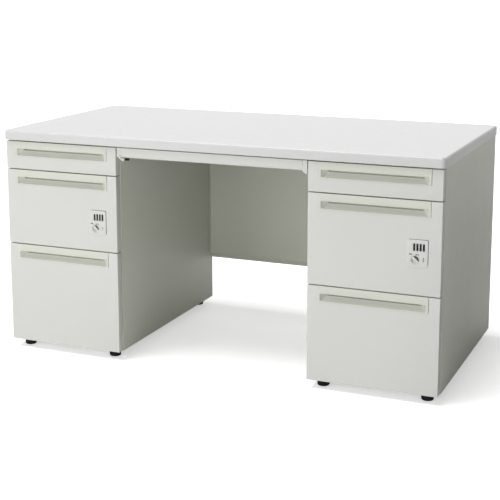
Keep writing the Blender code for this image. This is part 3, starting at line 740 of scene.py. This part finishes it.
def make_centre_drawer():
    """Folded front with a curled finger lip, and a moulded tray with a pen well at its front."""
    body = "centre_drawer"
    low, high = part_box("centre_drawer_front")
    path = [(high.y, high.z), (low.y, high.z), (low.y, low.z), (low.y + 0.010, low.z)]
    bm = bent(path, [0, 0.0018, 0.0075, 0], SHEET, "X", low.x, high.x)
    piece("centre_drawer_face", bm, FRONT_PAINT, body, "front_paint", "centre_drawer_front", bevel=0.0003)
    low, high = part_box("centre_drawer_tray")
    half, wall, floor = 0.272, 0.0015, low.z + 0.0015
    loops = []
    for inset, z in ((0.006, floor), (0.0028, floor + 0.0008), (wall, floor + 0.003), (wall, high.z - 0.0006),
                     (wall * 0.6, high.z), (wall * 0.4, high.z), (0, high.z - 0.0006), (0, low.z + 0.002),
                     (0.0006, low.z + 0.0006), (0.002, low.z)):
        flat = rectangle((-half + inset, low.y + inset), (half - inset, high.y - inset), 0.004, 4)
        loops.append([(x, y, z) for x, y in flat])
    piece("centre_drawer_tray_moulding", loft(loops), TRAY_PLASTIC, body, "tray_plastic",
          "centre_drawer_tray")
    rib_foot, rib_top = floor - 0.0003, low.z + 0.013
    rib = bar((-half + wall, low.y + 0.075, rib_foot), (half - wall, low.y + 0.0768, rib_top), 0.0006, 2)
    piece("centre_drawer_pen_rib", rib, TRAY_PLASTIC, body, "tray_plastic")
    for number, x in enumerate((-0.16, 0.06), 1):
        divider = bar((x, low.y + wall, rib_foot), (x + 0.0018, low.y + 0.0750, rib_top), 0.0006, 2)
        piece(f"centre_drawer_pen_divider_{number}", divider, TRAY_PLASTIC, body, "tray_plastic")
    reach, channel_low, channel_high = 0.2865, low.z + 0.0010, low.z + 0.0110
    for side, hand in HAND.items():
        path = [(reach, channel_low), (half, channel_low), (half, channel_high), (reach, channel_high)]
        runner = bent(path, [0, 0.0015, 0.0015, 0], -0.0012, "Y", low.y, high.y)
        piece(f"centre_drawer_{side}_member", mirrored(runner, hand), SLIDE_STEEL, body, "slide_steel")


def make_hanger(side):
    """Folded rail under the desktop, with the end plate that closes the gap beside the drawer."""
    hand = HAND[side]
    low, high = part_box(side + "_hanger")
    outer, inner = (high.x, low.x) if hand > 0 else (-low.x, -high.x)
    web, shelf, skirt = 0.2885, 0.643, 0.630
    behind = low.y + 0.022 + 0.0025                 # where the rail starts, behind the end plate
    path = [(outer, skirt), (outer, high.z), (web, high.z), (web, shelf), (inner, shelf)]
    rail = bent(path, [0, BEND, BEND, BEND, 0], -SHEET, "Y", behind, high.y)
    piece(side + "_hanger_rail", mirrored(rail, hand), FRONT_PAINT, "desk_frame", "front_paint",
          side + "_hanger")
    edge, end, top = web + SHEET, outer - END_GAP[side], high.z - 0.0025
    shoulder, toe, crest = 0.6352, 0.278, 0.641
    if side == "left":
        outline = [(edge, top), (edge, shoulder), (toe, shoulder), (toe, low.z + 0.002), (toe + 0.003, low.z),
                   (end, crest), (end, top)]
    else:
        outline = [(edge, top), (edge, shoulder), (end - 0.001, low.z), (end, low.z), (end, top)]
    outline = rounded(outline, 0.0008, 4, closed=True)
    plate = prism(outline, "Y", low.y, low.y + 0.0015)
    obj = piece(side + "_hanger_end_plate", mirrored(plate, hand), FRONT_PAINT, "desk_frame", "front_paint")
    if side == "left":
        hole, hole_place = 0.0014, (-0.2922, 0.6440)
        cut(obj, turned([(hole, low.y - 0.002), (hole, low.y + 0.004)], "Y", hole_place, 24))
        # The plate's sloping edge is folded forward into a narrow rim.
        loops = []
        for x, z in ((-end, crest), (-toe - 0.003, low.z), (-toe, low.z + 0.0016)):
            loops.append([(x, low.y + 0.0002, z), (x, low.y - 0.0034, z), (x, low.y + 0.0002, z + 0.0046)])
        piece(side + "_hanger_rim", loft(loops), FRONT_PAINT, "desk_frame", "front_paint",
              bevel=0.0003)
        # Painted shade: a black block under the end of the drawer's lip stands in for the shade there, drawn
        # as a guessed rubber stop on a steel arm.
        stop_low, arm_low, arm_high = 0.6290, 0.6330, 0.6350
        shade_stop = bar((-toe + 0.0006, low.y + 0.0010, stop_low), (-toe + 0.0135, low.y + 0.0100, shoulder),
                   0.0012, 3)
        piece(side + "_hanger_stop", shade_stop, BLACK_PLASTIC, "desk_frame", "black_plastic")
        arm = bar((-toe + 0.0025, low.y + 0.0080, arm_low), (-toe + 0.0065, behind + 0.0060, arm_high),
                  0.0006, 2)
        piece(side + "_hanger_stop_arm", arm, SLIDE_STEEL, "desk_frame", "slide_steel")
    cheek = prism(rectangle((end - SHEET, low.y + 0.0012), (end, behind + 0.004), 0.0003, 2), "Z", crest, top)
    piece(side + "_hanger_cheek", mirrored(cheek, hand), FRONT_PAINT, "desk_frame", "front_paint")


# ---------------------------------------------------------------- stage

FLOOR_COLOUR = (0.90, 0.90, 0.895)
FLOOR_LEVEL = -0.001
GLOW_LEVEL = -0.0005
CARD_LEVEL = -0.0002
FLOOR_REACH = 60                # half the width of the floor and its glow, so that no view shows an edge
CARD_CENTRE = (2.45, 0.90)
CARD_REACH = 1.6
DOME_RADIUS = 40
LAMP_AIM = Vector((0, 0, 0.35)) # the middle of the desk, which the softboxes face
CAMERA_PLACE = (1.423, -3.440, 1.218)
CAMERA_SIDE = (22.66, 10.21)    # the azimuth and elevation that the camera looks along


def make_floor():
    """A pale matt floor, just below the feet."""
    bm = bmesh.new()
    bmesh.ops.create_grid(bm, x_segments=1, y_segments=1, size=FLOOR_REACH)
    paint = surface("pale_floor", FLOOR_COLOUR, 0.85, 40, 0.0001, mottle=0.004, gloss=0.1)
    floor = make_object("floor", moved(bm, (0, 0, FLOOR_LEVEL)), paint)


def make_backdrop():
    """A pale dome round the studio, seen by the camera and in reflections but giving no diffuse light."""
    bm = bmesh.new()
    bmesh.ops.create_uvsphere(bm, u_segments=64, v_segments=32, radius=DOME_RADIUS)
    material = bpy.data.materials.new("backdrop")
    material.use_nodes = True
    tree = material.node_tree
    tree.nodes.clear()
    glow = tree.nodes.new("ShaderNodeEmission")
    glow.inputs["Color"].default_value = (1.0, 1.0, 1.0, 1.0)
    glow.inputs["Strength"].default_value = 1.0
    link(tree, glow.outputs["Emission"], tree.nodes.new("ShaderNodeOutputMaterial").inputs["Surface"])
    dome = make_object("backdrop", bm, material)
    dome.visible_diffuse = False
    dome.visible_shadow = False


def make_floor_glow():
    """A clear sheet just over the floor with painted light: a glow, seen only by the camera, that lifts the
    floor's shade as a light table does.
    """
    bm = bmesh.new()
    bmesh.ops.create_grid(bm, x_segments=1, y_segments=1, size=FLOOR_REACH)
    material = bpy.data.materials.new("floor_glow")
    material.use_nodes = True
    tree = material.node_tree
    tree.nodes.clear()
    clear, glow, both = (tree.nodes.new(kind) for kind in ("ShaderNodeBsdfTransparent", "ShaderNodeEmission",
                                                           "ShaderNodeAddShader"))
    glow.inputs["Strength"].default_value = 0.50
    link(tree, clear.outputs["BSDF"], both.inputs[0])
    link(tree, glow.outputs["Emission"], both.inputs[1])
    link(tree, both.outputs["Shader"], tree.nodes.new("ShaderNodeOutputMaterial").inputs["Surface"])
    sheet = make_object("floor_glow", moved(bm, (0, 0, GLOW_LEVEL)), material)
    sheet.visible_diffuse = False
    sheet.visible_glossy = False
    sheet.visible_shadow = False


def make_flag():
    """A grey card on the floor that keeps the right-hand side of the desk from catching its glow."""
    bm = bmesh.new()
    bmesh.ops.create_grid(bm, x_segments=1, y_segments=1, size=CARD_REACH)
    grey = surface("grey_card", (0.45, 0.45, 0.45), 0.9, 40, 0.0001)
    card = make_object("flag", moved(bm, (*CARD_CENTRE, CARD_LEVEL)), grey)
    card.visible_camera = False
    card.visible_shadow = False


def direction(azimuth, elevation):
    """The way from the desk to a lamp or the camera; azimuth 0 is the front and 90 is +X."""
    a, e = math.radians(azimuth), math.radians(elevation)
    return Vector((math.sin(a) * math.cos(e), -math.cos(a) * math.cos(e), math.sin(e)))


def make_sun(name, azimuth, elevation, strength, spread):
    """A far lamp; spread is how wide it looks, in degrees, and softens its shadows."""
    data = bpy.data.lights.new(name, "SUN")
    data.energy = strength
    data.angle = math.radians(spread)
    lamp = bpy.data.objects.new(name, data)
    lamp.rotation_mode = "QUATERNION"
    lamp.rotation_quaternion = direction(azimuth, elevation).to_track_quat("Z", "Y")
    bpy.context.scene.collection.objects.link(lamp)


def make_softbox(name, azimuth, elevation, distance, size, power):
    """A square lamp that lights the desk but isn't mirrored in it, so that no view has a burnt-out patch."""
    data = bpy.data.lights.new(name, "AREA")
    data.shape = "SQUARE"
    data.size = size
    data.energy = power
    lamp = bpy.data.objects.new(name, data)
    lamp.location = direction(azimuth, elevation) * distance + LAMP_AIM
    lamp.visible_glossy = False
    lamp.rotation_mode = "QUATERNION"
    lamp.rotation_quaternion = direction(azimuth, elevation).to_track_quat("Z", "Y")
    bpy.context.scene.collection.objects.link(lamp)


def make_lights():
    make_sun("key", azimuth=-62, elevation=70, strength=2.7, spread=34)
    make_softbox("left_softbox", azimuth=-28, elevation=4, distance=2.8, size=1.2, power=18.5)
    make_softbox("front_softbox", azimuth=8, elevation=13, distance=3.2, size=1.4, power=19.5)
    make_softbox("rear_softbox", azimuth=-162, elevation=25, distance=3.4, size=1.2, power=9)
    world = bpy.data.worlds.new("studio")
    world.use_nodes = True
    background = world.node_tree.nodes["Background"]
    background.inputs["Color"].default_value = (0.98, 1.0, 0.95, 1.0)
    background.inputs["Strength"].default_value = 0.12
    bpy.context.scene.world = world


def make_camera():
    """The photograph's view, with part of its lens shift."""
    data = bpy.data.cameras.new("camera")
    data.sensor_width = 36
    data.lens = 85.7
    data.shift_y = -0.15
    data.clip_start, data.clip_end = 0.05, 200
    camera = bpy.data.objects.new("camera", data)
    camera.location = CAMERA_PLACE
    camera.rotation_mode = "QUATERNION"
    camera.rotation_quaternion = direction(*CAMERA_SIDE).to_track_quat("Z", "Y")
    bpy.context.scene.collection.objects.link(camera)
    bpy.context.scene.camera = camera


# ---------------------------------------------------------------- the desk

def repaint(material, *names):
    """Gives CAD nodes that are right as they are a better material."""
    for name in names:
        node = bpy.data.objects[name]
        for material_slot in node.material_slots:
            material_slot.material = material


def main():
    bpy.context.scene.view_settings.view_transform = "Standard"
    make_floor()
    make_floor_glow()
    make_backdrop()
    make_flag()
    make_lights()
    make_camera()
    make_desktop()
    make_modesty_panel()
    make_centre_drawer()
    digits = make_digits()
    for side in SIDES:
        make_case(side)
        make_hanger(side)
        for end in ("front", "rear"):
            for where in ("inner", "outer"):
                make_foot(f"{side}_{end}_{where}_foot")
        for level in LEVELS:
            body = f"{side}_{level}_drawer"
            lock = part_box(side + "_lock_housing") if level == "middle" else None
            make_front(body + "_front", body, lock)
            make_pull(body + "_pull", body)
            make_tray(side, level, body)
        make_lock(side, digits)
        repaint(SHADE_TINTED_CASE_PAINT, side + "_base_pan", side + "_top_frame")
        repaint(SLIDE_STEEL, side + "_outer_rails", side + "_inner_rails", side + "_outer_slider",
                side + "_inner_slider")


main()
